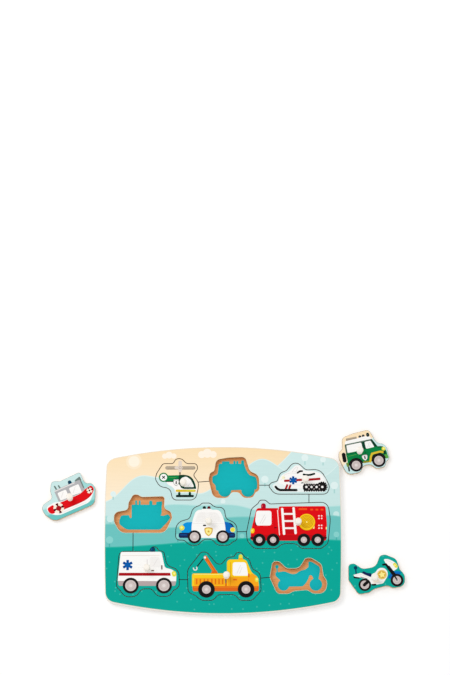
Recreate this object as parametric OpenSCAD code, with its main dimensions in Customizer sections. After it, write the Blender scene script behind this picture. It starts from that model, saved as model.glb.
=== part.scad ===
// Wooden peg puzzle: a board of two glued sheets and nine vehicle tiles, each lifted by a turned peg.
// The origin is at the middle of the board's underside, +Z is up, +Y points away from the player.
// Six tiles sit in their openings; the boat, the off-roader and the motorcycle lie loose beside the board.

/* [Board] */
// Width of the board, left to right
board_w = 300; // [240:1:400]
// Depth of the board, front to back, along its middle
board_d = 215; // [180:1:280]
// Rise of the curved front and back edges
edge_bow = 17; // [8:1:20]
// Rise of the gently curved left and right edges
side_bow = 2; // [1:0.5:5]
// Radius of the board's corners
board_corner_r = 14; // [8:1:20]
// Thickness of the base board
base_t = 3; // [2:0.5:5]
// Thickness of the face board and of the tiles sawn from it
face_t = 6; // [4:0.5:9]
// Width of the saw cut round each tile and between the openings
kerf_w = 0.4; // [0.2:0.05:1]

/* [Pegs] */
// Height of a peg above its tile
peg_h = 14; // [10:0.5:18]
// Diameter of a peg's head
peg_head_d = 8.6; // [7.6:0.2:11]
// Height of a peg's round head
peg_head_t = 5; // [4:0.25:6]
// Diameter of a peg's waist
peg_waist_d = 5.4; // [4.4:0.2:6.4]
// Diameter of a peg's foot
peg_foot_d = 7.4; // [6.8:0.2:8.4]
// Height of a peg's round foot
peg_foot_t = 1.8; // [1:0.2:2.4]
// Diameter of the blind hole for a peg's tenon
peg_hole_d = 4; // [3:0.2:4.4]
// Wood left under the blind hole
peg_hole_floor_t = 2; // [1:0.25:3]
// Glue gap round a peg's tenon
glue_gap = 0.05; // [0.02:0.01:0.1]
// Room for glue under a peg's tenon
glue_room = 0.4; // [0.2:0.1:0.8]

/* [Margins and gaps] */
// Margin left of the boat's opening
boat_side_margin = 12.5; // [8:0.5:30]
// Margin left of the ambulance's opening
ambulance_side_margin = 16; // [12:0.2:34]
// Margin right of the snowmobile's opening
snowmobile_side_margin = 15.4; // [8:0.1:30]
// Margin right of the fire truck's opening
fire_truck_side_margin = 14.2; // [8:0.1:30]
// Margin right of the motorcycle's opening
motorcycle_side_margin = 20; // [14:0.5:36]
// Margin in front of the ambulance's opening
ambulance_front_margin = 21.9; // [18:0.1:36]
// Margin in front of the tow truck's opening
tow_truck_front_margin = 17.4; // [8:0.1:30]
// Margin in front of the motorcycle's opening
motorcycle_front_margin = 26.4; // [18:0.1:36]
// Margin behind the helicopter's opening
helicopter_back_margin = 15.5; // [8:0.1:30]
// Margin behind the off-roader's opening
off_roader_back_margin = 13.9; // [8:0.1:30]
// Margin behind the snowmobile's opening
snowmobile_back_margin = 21.4; // [16:0.1:36]
// Gap between the helicopter and the off-roader
helicopter_off_roader_gap = 13; // [4:0.1:24]
// Gap between the off-roader and the snowmobile
off_roader_snowmobile_gap = 12.7; // [4:0.1:24]
// Gap between the boat and the police car
boat_police_gap = 4.3; // [2:0.1:20]
// Gap between the police car and the fire truck
police_fire_gap = 11.5; // [4:0.1:24]
// Gap between the ambulance and the tow truck
ambulance_tow_gap = 9.5; // [4:0.5:24]
// Gap between the tow truck and the motorcycle
tow_motorcycle_gap = 11; // [4:0.1:24]
// Gap between the ambulance and the boat behind it
ambulance_boat_gap = 18; // [4:0.5:30]
// Gap between the tow truck and the police car behind it
tow_police_gap = 8.6; // [3:0.1:20]
// Gap between the police car and the off-roader behind it
police_off_roader_gap = 6.6; // [3:0.1:20]
// Gap between the motorcycle and the fire truck behind it
motorcycle_fire_gap = 11.9; // [4:0.1:24]
// Gap between the fire truck and the snowmobile behind it
fire_snowmobile_gap = 7.3; // [3:0.1:20]
// Reach of the helicopter's tail over the boat's bow
tail_over_bow = 21.1; // [0:0.1:24]
// Height of the boat's cabin beside the helicopter's belly
cabin_beside_belly = 6.9; // [0:0.1:9]
// Gap between the board's left side and the loose boat, before its turn
boat_loose_gap = 10.5; // [6:0.5:40]
// How far the loose boat lies behind the board's middle
boat_loose_back = 44.5; // [-60:0.5:60]
// Reach of the loose off-roader over the board's right side, before its turn
off_roader_loose_reach = 4.4; // [-40:0.2:5]
// Reach of the loose off-roader in front of the board's back corners, before its turn
off_roader_loose_drop = 14.8; // [-40:0.2:16]
// Gap between the board's right side and the loose motorcycle, before its turn
motorcycle_loose_gap = 6.5; // [4:0.5:40]
// How far the loose motorcycle lies in front of the board's middle
motorcycle_loose_front = 55.5; // [-10:0.5:70]

/* [Helicopter] */
// Width of the helicopter's opening
helicopter_w = 54.5; // [40:0.5:75]
// Height of the helicopter's opening
helicopter_h = 54; // [40:0.5:75]

/* [Off-roader] */
// Width of the off-roader's opening
off_roader_w = 64; // [48:0.5:88]
// Height of the off-roader's opening
off_roader_h = 52.5; // [40:0.5:72]
// Turn of the loose off-roader, anticlockwise
off_roader_turn = 12; // [0:1:30]

/* [Snowmobile] */
// Width of the snowmobile's opening
snowmobile_w = 76; // [56:0.5:104]
// Height of the snowmobile's opening
snowmobile_h = 40.5; // [30:0.5:55]

/* [Boat] */
// Width of the boat's opening
boat_w = 73; // [54:0.5:98]
// Height of the boat's opening
boat_h = 48.5; // [36:0.5:66]
// Turn of the loose boat, anticlockwise
boat_turn = 24; // [0:1:45]

/* [Police car] */
// Width of the police car's opening
police_car_w = 78; // [58:0.5:104]
// Height of the police car's opening
police_car_h = 54.5; // [41:0.5:74]

/* [Fire truck] */
// Width of the fire truck's opening
fire_truck_w = 106.5; // [80:0.5:140]
// Height of the fire truck's opening
fire_truck_h = 62.5; // [47:0.5:84]

/* [Ambulance] */
// Width of the ambulance's opening
ambulance_w = 79.5; // [60:0.5:106]
// Height of the ambulance's opening
ambulance_h = 64; // [50:0.5:90]

/* [Tow truck] */
// Width of the tow truck's opening
tow_truck_w = 93; // [70:0.5:122]
// Height of the tow truck's opening
tow_truck_h = 61.5; // [48:0.5:86]

/* [Motorcycle] */
// Width of the motorcycle's opening
motorcycle_w = 71; // [53:0.5:95]
// Height of the motorcycle's opening
motorcycle_h = 45; // [34:0.5:61]
// Turn of the loose motorcycle, anticlockwise
motorcycle_turn = 10; // [0:1:30]

/* [Hidden] */

// How far every cut runs past the face that it leaves
overrun = 1;
// Widest turn of one straight step along a rounded corner, in degrees
corner_step = 12;
// Straight steps along half a curved edge of the board, and along one of its corners
edge_steps = 14;
side_steps = 4;
board_corner_steps = 8;
// Smoothness of the turned pegs and their holes
$fn = 64;

// Colours
birch = [0.93, 0.86, 0.74];
printed_teal = [0.12, 0.66, 0.62];
peg_cream = [0.97, 0.93, 0.85];

// Room that the board leaves between the margins and gaps of a row of openings,
// for each millimetre of their widths: one on this board, more on a wider one
middle_row_fit = (
    board_w - boat_side_margin - boat_police_gap - police_fire_gap - fire_truck_side_margin
) / (boat_w + police_car_w + fire_truck_w);
helicopter_left = boat_side_margin + boat_w * middle_row_fit - tail_over_bow;
back_row_fit = (
    board_w - helicopter_left - helicopter_off_roader_gap - off_roader_snowmobile_gap - snowmobile_side_margin
) / (helicopter_w + off_roader_w + snowmobile_w);
front_row_fit = (
    board_w - ambulance_side_margin - ambulance_tow_gap - tow_motorcycle_gap - motorcycle_side_margin
) / (ambulance_w + tow_truck_w + motorcycle_w);

// The same for the openings that stand behind one another, and their heights
left_stack_fit = (
    board_d - ambulance_front_margin - ambulance_boat_gap + cabin_beside_belly - helicopter_back_margin
) / (ambulance_h + boat_h + helicopter_h);
middle_stack_fit = (
    board_d - tow_truck_front_margin - tow_police_gap - police_off_roader_gap - off_roader_back_margin
) / (tow_truck_h + police_car_h + off_roader_h);
right_stack_fit = (
    board_d - motorcycle_front_margin - motorcycle_fire_gap - fire_snowmobile_gap - snowmobile_back_margin
) / (motorcycle_h + fire_truck_h + snowmobile_h);

// Openings as they fit the board
helicopter_size = [helicopter_w * back_row_fit, helicopter_h * left_stack_fit];
off_roader_size = [off_roader_w * back_row_fit, off_roader_h * middle_stack_fit];
snowmobile_size = [snowmobile_w * back_row_fit, snowmobile_h * right_stack_fit];
boat_size = [boat_w * middle_row_fit, boat_h * left_stack_fit];
police_car_size = [police_car_w * middle_row_fit, police_car_h * middle_stack_fit];
fire_truck_size = [fire_truck_w * middle_row_fit, fire_truck_h * right_stack_fit];
ambulance_size = [ambulance_w * front_row_fit, ambulance_h * left_stack_fit];
tow_truck_size = [tow_truck_w * front_row_fit, tow_truck_h * middle_stack_fit];
motorcycle_size = [motorcycle_w * front_row_fit, motorcycle_h * right_stack_fit];

// Front left corners of the openings, from the board's left side and its front edge
ambulance_corner = [ambulance_side_margin, ambulance_front_margin];
tow_truck_corner = [
    ambulance_corner.x + ambulance_size.x + ambulance_tow_gap,
    tow_truck_front_margin
];
motorcycle_corner = [
    tow_truck_corner.x + tow_truck_size.x + tow_motorcycle_gap,
    motorcycle_front_margin
];
boat_corner = [
    boat_side_margin,
    ambulance_corner.y + ambulance_size.y + ambulance_boat_gap
];
police_car_corner = [
    boat_corner.x + boat_size.x + boat_police_gap,
    tow_truck_corner.y + tow_truck_size.y + tow_police_gap
];
fire_truck_corner = [
    police_car_corner.x + police_car_size.x + police_fire_gap,
    motorcycle_corner.y + motorcycle_size.y + motorcycle_fire_gap
];
helicopter_corner = [
    helicopter_left,
    boat_corner.y + boat_size.y - cabin_beside_belly
];
off_roader_corner = [
    helicopter_corner.x + helicopter_size.x + helicopter_off_roader_gap,
    police_car_corner.y + police_car_size.y + police_off_roader_gap
];
snowmobile_corner = [
    off_roader_corner.x + off_roader_size.x + off_roader_snowmobile_gap,
    fire_truck_corner.y + fire_truck_size.y + fire_snowmobile_gap
];

// Middles of the loose tiles, from the board's middle
off_roader_loose = [
    board_w / 2 + off_roader_size.x / 2 - off_roader_loose_reach,
    board_d / 2 - edge_bow + off_roader_size.y / 2 - off_roader_loose_drop
];
boat_loose = [-board_w / 2 - boat_size.x / 2 - boat_loose_gap, boat_loose_back];
motorcycle_loose = [
    board_w / 2 + motorcycle_size.x / 2 + motorcycle_loose_gap,
    -motorcycle_loose_front
];

// Middles of the pegs, as shares of the opening's width and height
helicopter_peg_shares = [0.645, 0.395];
off_roader_peg_shares = [0.44, 0.505];
snowmobile_peg_shares = [0.6, 0.44];
boat_peg_shares = [0.52, 0.405];
police_car_peg_shares = [0.54, 0.535];
fire_truck_peg_shares = [0.615, 0.53];
ambulance_peg_shares = [0.485, 0.555];
tow_truck_peg_shares = [0.53, 0.5];
motorcycle_peg_shares = [0.46, 0.37];

// Corners of the openings, clockwise: shares of the opening's width and height,
// and the corner's radius as a share of the height
helicopter_shares = [
    [0.17, 0.88, 0.08], [0.41, 0.88, 0.07], [0.47, 1, 0.12], [0.61, 1, 0.14],
    [0.72, 0.88, 0.12], [0.96, 0.88, 0.09], [0.99, 0.75, 0.14], [0.88, 0.6, 0.07],
    [1.01, 0.42, 0.19], [0.99, 0.24, 0.24], [0.93, 0, 0.16], [0.4, 0, 0.12],
    [0.34, 0.28, 0.16], [0.1, 0.32, 0.19], [-0.01, 0.5, 0.14], [0.02, 0.64, 0.19]
];
off_roader_shares = [
    [0.15, 0.94, 0.13], [0.39, 0.99, 0.24], [0.72, 1.01, 0.11], [0.81, 0.65, 0.17],
    [0.99, 0.56, 0.17], [1, 0.19, 0.12], [0.92, 0.13, 0.07], [0.87, 0.01, 0.11],
    [0.69, 0, 0.13], [0.6, 0.14, 0.15], [0.45, 0.15, 0.12], [0.38, 0, 0.15],
    [0.09, 0, 0.17], [0, 0.46, 0.17], [0.03, 0.62, 0.1], [0.11, 0.65, 0.08]
];
snowmobile_shares = [
    [-0.02, 0.27, 0.09], [0.04, 0.38, 0.09], [0.13, 0.42, 0.09], [0.18, 0.69, 0.19],
    [0.28, 0.75, 0.22], [0.39, 1, 0.28], [0.49, 1, 0.22], [0.61, 0.78, 0.19],
    [0.86, 0.81, 0.34], [1.01, 0.26, 0.22], [0.97, 0, 0.2], [0.09, 0, 0.28]
];
boat_shares = [
    [0, 0.53, 0.18], [0.24, 0.6, 0.1], [0.25, 0.79, 0.16], [0.33, 1.01, 0.13],
    [0.41, 1, 0.13], [0.47, 0.94, 0.13], [0.87, 0.96, 0.07], [0.86, 0.62, 0.13],
    [0.98, 0.56, 0.13], [1, 0.39, 0.13], [0.88, 0, 0.21], [0.11, 0, 0.24],
    [0, 0.29, 0.24]
];
police_car_shares = [
    [0.01, 0.54, 0.28], [0.23, 0.63, 0.12], [0.28, 0.88, 0.19], [0.4, 0.95, 0.07],
    [0.43, 1, 0.08], [0.56, 1, 0.09], [0.64, 0.9, 0.19], [0.79, 0.9, 0.21],
    [0.82, 0.63, 0.14], [1, 0.51, 0.21], [1, 0.12, 0.1], [0.93, 0.08, 0.12],
    [0.87, 0, 0.14], [0.67, 0, 0.16], [0.6, 0.14, 0.14], [0.46, 0.14, 0.14],
    [0.37, 0, 0.14], [0.23, 0, 0.15], [0.15, 0.12, 0.14], [0, 0.12, 0.12]
];
fire_truck_shares = [
    [0.06, 0.82, 0.16], [0.14, 0.93, 0.1], [0.16, 1, 0.06], [0.23, 1, 0.07],
    [0.28, 0.92, 0.06], [0.97, 0.96, 0.16], [1, 0.6, 0.61], [0.97, 0.11, 0.12],
    [0.89, 0, 0.12], [0.65, 0, 0.12], [0.59, 0.1, 0.14], [0.43, 0.1, 0.18],
    [0.36, 0, 0.12], [0.09, 0, 0.14], [0.01, 0.16, 0.16], [0, 0.33, 0.12]
];
ambulance_shares = [
    [0.04, 0.91, 0.11], [0.52, 0.91, 0.05], [0.55, 1, 0.07], [0.63, 1, 0.08],
    [0.67, 0.92, 0.06], [0.75, 0.91, 0.09], [0.8, 0.62, 0.16], [0.99, 0.55, 0.17],
    [1, 0.2, 0.1], [0.91, 0.13, 0.1], [0.84, 0.01, 0.13], [0.65, 0.01, 0.15],
    [0.56, 0.16, 0.12], [0.4, 0.16, 0.14], [0.32, 0, 0.16], [0.14, 0, 0.16],
    [0.06, 0.13, 0.08], [0, 0.2, 0.12]
];
tow_truck_shares = [
    [0, 0.64, 0.21], [0.19, 1.01, 0.09], [0.27, 1, 0.12], [0.4, 0.76, 0.14],
    [0.46, 0.75, 0.08], [0.54, 0.89, 0.08], [0.63, 0.91, 0.06], [0.67, 1, 0.06],
    [0.74, 0.99, 0.09], [0.78, 0.9, 0.06], [0.84, 0.86, 0.1], [0.88, 0.65, 0.17],
    [0.99, 0.57, 0.14], [1, 0.2, 0.1], [0.88, 0, 0.14], [0.71, 0, 0.14],
    [0.64, 0.12, 0.12], [0.42, 0.12, 0.12], [0.35, 0, 0.12], [0.19, 0, 0.17],
    [0.11, 0.1, 0.08], [0.01, 0.17, 0.12]
];
motorcycle_shares = [
    [0.05, 0.9, 0.14], [0.16, 0.9, 0.14], [0.29, 0.7, 0.2], [0.52, 0.7, 0.23],
    [0.63, 0.99, 0.11], [0.73, 1, 0.17], [0.91, 0.82, 0.17], [0.94, 0.5, 0.14],
    [1.01, 0.33, 0.23], [0.97, 0.01, 0.2], [0.76, 0.01, 0.17], [0.66, 0.11, 0.17],
    [0.43, 0.08, 0.14], [0.32, 0, 0.14], [0.13, 0, 0.14], [0, 0.45, 0.14]
];

// Middle of an opening, from the board's middle
function middle(corner, size) = corner + size / 2 - [board_w, board_d] / 2;

// A vehicle's opening: its size, its middle, its corners and its peg
helicopter = [
    helicopter_size, middle(helicopter_corner, helicopter_size), helicopter_shares, helicopter_peg_shares
];
off_roader = [
    off_roader_size, middle(off_roader_corner, off_roader_size), off_roader_shares, off_roader_peg_shares
];
snowmobile = [
    snowmobile_size, middle(snowmobile_corner, snowmobile_size), snowmobile_shares, snowmobile_peg_shares
];
boat = [
    boat_size, middle(boat_corner, boat_size), boat_shares, boat_peg_shares
];
police_car = [
    police_car_size, middle(police_car_corner, police_car_size), police_car_shares, police_car_peg_shares
];
fire_truck = [
    fire_truck_size, middle(fire_truck_corner, fire_truck_size), fire_truck_shares, fire_truck_peg_shares
];
ambulance = [
    ambulance_size, middle(ambulance_corner, ambulance_size), ambulance_shares, ambulance_peg_shares
];
tow_truck = [
    tow_truck_size, middle(tow_truck_corner, tow_truck_size), tow_truck_shares, tow_truck_peg_shares
];
motorcycle = [
    motorcycle_size, middle(motorcycle_corner, motorcycle_size), motorcycle_shares, motorcycle_peg_shares
];
vehicles = [
    helicopter, off_roader, snowmobile, boat, police_car, fire_truck, ambulance, tow_truck, motorcycle
];

// Saw cuts between openings: the vehicle and the shares of its opening at each end
saw_cut_shares = [
    [helicopter, [0.95, 0.43], off_roader, [0.04, 0.41]],
    [off_roader, [0.96, 0.31], snowmobile, [0.03, 0.29]],
    [snowmobile, [0.66, 0.03], fire_truck, [0.745, 0.91]],
    [police_car, [0.98, 0.32], fire_truck, [0.03, 0.35]],
    [boat, [0.33, 0.03], ambulance, [0.26, 0.88]],
    [ambulance, [0.98, 0.345], tow_truck, [0.02, 0.43]],
    [tow_truck, [0.98, 0.46], motorcycle, [0.035, 0.46]]
];

// Board outline: two long arcs, two side arcs and four corner arcs that touch them
side_half = board_d / 2 - edge_bow;
edge_r = (board_w * board_w / 4 + edge_bow * edge_bow) / (2 * edge_bow);
side_r = (side_half * side_half + side_bow * side_bow) / (2 * side_bow);
edge_mid = [0, board_d / 2 - edge_r];
side_mid = [board_w / 2 - side_r, 0];
mid_gap = norm(side_mid - edge_mid);
mid_way = (side_mid - edge_mid) / mid_gap;
edge_reach = edge_r - board_corner_r;
side_reach = side_r - board_corner_r;
along = (edge_reach * edge_reach - side_reach * side_reach + mid_gap * mid_gap) / (2 * mid_gap);
across = sqrt(edge_reach * edge_reach - along * along);
board_corner_mid = edge_mid + along * mid_way + across * [mid_way.y, -mid_way.x];
edge_from = atan2(board_corner_mid.y - edge_mid.y, board_corner_mid.x - edge_mid.x);
side_to = atan2(board_corner_mid.y - side_mid.y, board_corner_mid.x - side_mid.x);

// Points of an arc from one angle to another
function arc(mid, r, from, to, steps) = [
    for (k = [0 : steps])
        let (angle = from + (to - from) * k / steps)
        mid + r * [cos(angle), sin(angle)]
];

// The board's back right quarter, from the middle of its side to the middle of its back edge
board_quarter = concat(
    arc(side_mid, side_r, 0, side_to, side_steps),
    [for (k = [1 : board_corner_steps - 1])
        arc(board_corner_mid, board_corner_r, side_to, edge_from, board_corner_steps)[k]],
    arc(edge_mid, edge_r, edge_from, 90, edge_steps)
);
quarter_end = len(board_quarter) - 1;
board_outline = concat(
    board_quarter,
    [for (k = [1 : quarter_end]) [-board_quarter[quarter_end - k].x, board_quarter[quarter_end - k].y]],
    [for (k = [1 : quarter_end]) -board_quarter[k]],
    [for (k = [1 : quarter_end - 1]) [board_quarter[quarter_end - k].x, -board_quarter[quarter_end - k].y]]
);

// A point of an opening, from its middle, for shares of its width and height
function spot(vehicle, shares) = [
    shares.x * vehicle[0].x - vehicle[0].x / 2,
    shares.y * vehicle[0].y - vehicle[0].y / 2
];
function unit(v) = v / norm(v);
function left_of(v) = [-v.y, v.x];
function turned(v, angle) = cos(angle) * v + sin(angle) * left_of(v);

// Outline of an opening with rounded corners, drawn in by inset all round
function outline(vehicle, inset) = [
    for (i = [0 : len(vehicle[2]) - 1])
        let (
            corners = vehicle[2],
            last = len(corners) - 1,
            here = spot(vehicle, corners[i]),
            before = spot(vehicle, corners[i == 0 ? last : i - 1]),
            after = spot(vehicle, corners[i == last ? 0 : i + 1]),
            way_in = unit(here - before),
            way_out = unit(after - here),
            turn = atan2(way_out * left_of(way_in), way_out * way_in),
            hand = sign(turn),
            room = min(norm(here - before), norm(after - here)) / 2,
            r = min(corners[i][2] * vehicle[0].y, room / tan(abs(turn) / 2)),
            mid = here - r * tan(abs(turn) / 2) * way_in + hand * r * left_of(way_in),
            steps = ceil(abs(turn) / corner_step)
        )
        for (k = [0 : steps])
            mid - hand * (r + hand * inset) * turned(left_of(way_in), turn * k / steps)
];

// Places of the tiles: seated on the base board, or loose on the table
function seated(vehicle) = [vehicle[1].x, vehicle[1].y, base_t];
function loose(middle) = [middle.x, middle.y, 0];

// A straight saw cut between two points of the face board
module saw_cut(from, to) {
    way = to - from;
    translate(from)
        rotate(atan2(way.y, way.x))
            translate([0, -kerf_w / 2])
                square([norm(way), kerf_w]);
}

module openings() {
    for (vehicle = vehicles)
        translate(vehicle[1])
            polygon(outline(vehicle, 0));
    for (cut = saw_cut_shares)
        saw_cut(cut[0][1] + spot(cut[0], cut[1]), cut[2][1] + spot(cut[2], cut[3]));
}

// A tile is its opening's outline less the saw cut, with a blind hole for the peg
module tile(vehicle, place, turn) {
    peg_spot = spot(vehicle, vehicle[3]);
    translate(place)
        rotate(turn)
            difference() {
                linear_extrude(face_t)
                    polygon(outline(vehicle, kerf_w));
                translate([peg_spot.x, peg_spot.y, peg_hole_floor_t])
                    cylinder(d = peg_hole_d, h = face_t - peg_hole_floor_t + overrun);
            }
}

// Half section of a disc with a full round edge
module round_disc(d, t) {
    square([d / 2 - t / 2, t]);
    intersection() {
        translate([d / 2 - t / 2, t / 2])
            circle(d = t);
        square([d / 2, t]);
    }
}

// Half section of a turned peg, standing on the tile at height zero
module peg_profile() {
    tenon_r = peg_hole_d / 2 - glue_gap;
    tenon_l = face_t - peg_hole_floor_t - glue_room;
    translate([0, -tenon_l])
        square([tenon_r, tenon_l + peg_foot_t]);
    round_disc(peg_foot_d, peg_foot_t);
    square([peg_waist_d / 2, peg_h - peg_head_t / 2]);
    translate([0, peg_h - peg_head_t])
        round_disc(peg_head_d, peg_head_t);
}

module peg(vehicle, place, turn) {
    peg_spot = spot(vehicle, vehicle[3]);
    color(peg_cream)
        translate(place)
            rotate(turn)
                translate([peg_spot.x, peg_spot.y, face_t])
                    rotate_extrude()
                        peg_profile();
}

module base_board() {
    color(birch)
        linear_extrude(base_t)
            polygon(board_outline);
}

module face_board() {
    color(printed_teal)
        translate([0, 0, base_t])
            linear_extrude(face_t)
                difference() {
                    polygon(board_outline);
                    openings();
                }
}

module helicopter_tile() {
    color("seagreen") tile(helicopter, seated(helicopter), 0);
}

module helicopter_peg() {
    peg(helicopter, seated(helicopter), 0);
}

module off_roader_tile() {
    color("darkgreen") tile(off_roader, loose(off_roader_loose), off_roader_turn);
}

module off_roader_peg() {
    peg(off_roader, loose(off_roader_loose), off_roader_turn);
}

module snowmobile_tile() {
    color("lightcyan") tile(snowmobile, seated(snowmobile), 0);
}

module snowmobile_peg() {
    peg(snowmobile, seated(snowmobile), 0);
}

module boat_tile() {
    color("crimson") tile(boat, loose(boat_loose), boat_turn);
}

module boat_peg() {
    peg(boat, loose(boat_loose), boat_turn);
}

module police_car_tile() {
    color("royalblue") tile(police_car, seated(police_car), 0);
}

module police_car_peg() {
    peg(police_car, seated(police_car), 0);
}

module fire_truck_tile() {
    color("red") tile(fire_truck, seated(fire_truck), 0);
}

module fire_truck_peg() {
    peg(fire_truck, seated(fire_truck), 0);
}

module ambulance_tile() {
    color("snow") tile(ambulance, seated(ambulance), 0);
}

module ambulance_peg() {
    peg(ambulance, seated(ambulance), 0);
}

module tow_truck_tile() {
    color("orange") tile(tow_truck, seated(tow_truck), 0);
}

module tow_truck_peg() {
    peg(tow_truck, seated(tow_truck), 0);
}

module motorcycle_tile() {
    color("teal") tile(motorcycle, loose(motorcycle_loose), motorcycle_turn);
}

module motorcycle_peg() {
    peg(motorcycle, loose(motorcycle_loose), motorcycle_turn);
}

base_board();
face_board();
helicopter_tile();
helicopter_peg();
off_roader_tile();
off_roader_peg();
snowmobile_tile();
snowmobile_peg();
boat_tile();
boat_peg();
police_car_tile();
police_car_peg();
fire_truck_tile();
fire_truck_peg();
ambulance_tile();
ambulance_peg();
tow_truck_tile();
tow_truck_peg();
motorcycle_tile();
motorcycle_peg();
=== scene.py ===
from math import cos, pi, radians, sin

import bmesh
import bpy
from mathutils import Matrix, Vector
from mathutils.bvhtree import BVHTree


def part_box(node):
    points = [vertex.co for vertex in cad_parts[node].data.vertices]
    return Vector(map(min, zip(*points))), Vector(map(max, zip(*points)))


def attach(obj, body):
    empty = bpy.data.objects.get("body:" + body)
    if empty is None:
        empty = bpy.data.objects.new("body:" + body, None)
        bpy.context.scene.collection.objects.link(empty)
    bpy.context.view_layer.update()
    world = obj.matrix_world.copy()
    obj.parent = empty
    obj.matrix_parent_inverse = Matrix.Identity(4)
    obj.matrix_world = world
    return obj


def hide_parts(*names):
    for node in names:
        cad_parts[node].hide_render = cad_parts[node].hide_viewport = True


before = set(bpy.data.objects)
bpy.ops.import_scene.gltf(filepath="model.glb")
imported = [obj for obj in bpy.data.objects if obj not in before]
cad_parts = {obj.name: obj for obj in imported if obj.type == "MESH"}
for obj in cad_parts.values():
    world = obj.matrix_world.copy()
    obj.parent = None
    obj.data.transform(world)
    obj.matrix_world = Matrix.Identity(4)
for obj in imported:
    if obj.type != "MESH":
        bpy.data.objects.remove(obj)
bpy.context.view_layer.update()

mm = 0.001
upward = Vector((0.0, 0.0, 1.0))
print("frame loaded:", len(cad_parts), "nodes")


# Helpers for objects and shader nodes

def newObject(name, data):
    thing = bpy.data.objects.new(name, data)
    bpy.context.scene.collection.objects.link(thing)
    return thing


def meshObject(name, bm, materials):
    mesh = bpy.data.meshes.new(name)
    bm.to_mesh(mesh)
    bm.free()
    for material in materials:
        mesh.materials.append(material)
    return newObject(name, mesh)


def feed(tree, node, inputs):  # links sockets and sets plain values
    for key, value in inputs.items():
        if isinstance(value, bpy.types.NodeSocket):
            tree.links.new(value, node.inputs[key])
        else:
            node.inputs[key].default_value = value


def addNode(tree, kind, inputs=None, **settings):
    node = tree.nodes.new("ShaderNode" + kind)
    for name, value in settings.items():
        setattr(node, name, value)
    feed(tree, node, inputs or {})
    return node


def calc(tree, operation, *values, clamp=False):
    inputs = dict(enumerate(values))
    return addNode(tree, "Math", inputs, operation=operation, use_clamp=clamp).outputs[0]


def ramp(tree, value, slope, start, clamp=False):
    return calc(tree, "MULTIPLY_ADD", value, slope, start, clamp=clamp)


def newMaterial(name, specular):
    material = bpy.data.materials.new(name)
    material.use_nodes = True
    shader = material.node_tree.nodes["Principled BSDF"]
    shader.inputs["Specular IOR Level"].default_value = specular
    return material, material.node_tree, shader


# Camera, light and floor

view = dict(
    target=(0.0, 0.0, 0.009), distance=3.4, sideStep=0.0025, lens=143.4, sensor=36.0, farthest=100.0,
    elevation=79.0,  # of the line from the board to the lens
    depression=74.91,  # of the lens itself, so that the board sits low in the frame
)
studio = dict(
    skyOnObject=0.8, lampPlace=(-1.0, 0.75, 1.9), lampSize=1.1, lampPower=12.5,
    floorSize=40.0, floorWhite=0.9, floorRough=0.9, floorSheen=0.1, floorGlow=0.15,
)


def placeCamera():
    data = bpy.data.cameras.new("viewCamera")
    data.sensor_fit = "VERTICAL"
    data.sensor_height = view["sensor"]
    data.lens = view["lens"]
    data.clip_end = view["farthest"]
    camera = newObject("viewCamera", data)
    rise = radians(view["elevation"])
    arm = view["distance"] * Vector((0.0, -cos(rise), sin(rise)))
    camera.location = Vector(view["target"]) + arm + Vector((view["sideStep"], 0.0, 0.0))
    camera.rotation_euler = (radians(90.0 - view["depression"]), 0.0, 0.0)
    bpy.context.scene.camera = camera


def seenRays(tree):  # camera, glossy and transmission rays, which should meet plain white
    rays = addNode(tree, "LightPath").outputs
    gloss = calc(tree, "MAXIMUM", rays["Is Glossy Ray"], rays["Is Transmission Ray"])
    return calc(tree, "MAXIMUM", rays["Is Camera Ray"], gloss)


def lightStudio():
    scene = bpy.context.scene
    scene.view_settings.view_transform = "Standard"
    world = bpy.data.worlds.new("studioSky")
    world.use_nodes = True
    tree = world.node_tree
    onObject = studio["skyOnObject"]
    strength = ramp(tree, seenRays(tree), 1.0 - onObject, onObject)
    feed(tree, tree.nodes["Background"], {"Color": (1.0, 1.0, 1.0, 1.0), "Strength": strength})
    scene.world = world

    data = bpy.data.lights.new("softBox", "AREA")
    data.shape = "DISK"
    data.size = studio["lampSize"]
    data.energy = studio["lampPower"]
    lamp = newObject("softBox", data)
    lamp.location = studio["lampPlace"]
    lamp.rotation_euler = Vector(studio["lampPlace"]).to_track_quat("Z", "Y").to_euler()


def layFloor():
    material, tree, paper = newMaterial("whiteFloor", studio["floorSheen"])
    white = (studio["floorWhite"],) * 3 + (1.0,)
    feed(tree, paper, {"Base Color": white, "Roughness": studio["floorRough"]})
    strength = calc(tree, "MULTIPLY", seenRays(tree), studio["floorGlow"])
    glow = addNode(tree, "Emission", {"Strength": strength})
    both = addNode(tree, "AddShader", {0: paper.outputs[0], 1: glow.outputs[0]})
    feed(tree, tree.nodes["Material Output"], {"Surface": both.outputs[0]})
    bm = bmesh.new()
    bmesh.ops.create_grid(bm, x_segments=1, y_segments=1, size=studio["floorSize"] / 2.0)
    floor = meshObject("floor", bm, [material])


placeCamera()
lightStudio()
layFloor()
print("camera, light and floor are set")


# Shader groups: wood, the ink's finish and the printed landscape, all on a place in millimetres

def srgb(*levels):
    def linear(level):
        share = level / 255.0
        return share / 12.92 if share <= 0.04045 else ((share + 0.055) / 1.055) ** 2.4
    return tuple(linear(level) for level in levels) + (1.0,)


def mixColor(tree, mask, below, above):
    return addNode(tree, "Mix", {0: mask, 6: below, 7: above}, data_type="RGBA").outputs[2]


def noise(tree, place, scale, detail, roughness=0.5, distortion=0.0):
    inputs = {"Vector": place, "Scale": scale, "Detail": detail, "Roughness": roughness, "Distortion": distortion}
    return addNode(tree, "TexNoise", inputs, noise_dimensions="3D").outputs["Fac"]


def streaks(tree, place, stretch, **settings):  # noise drawn out along the grain
    drawn = addNode(tree, "VectorMath", {0: place, 1: stretch}, operation="MULTIPLY")
    return noise(tree, drawn.outputs[0], 1.0, **settings)


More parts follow.
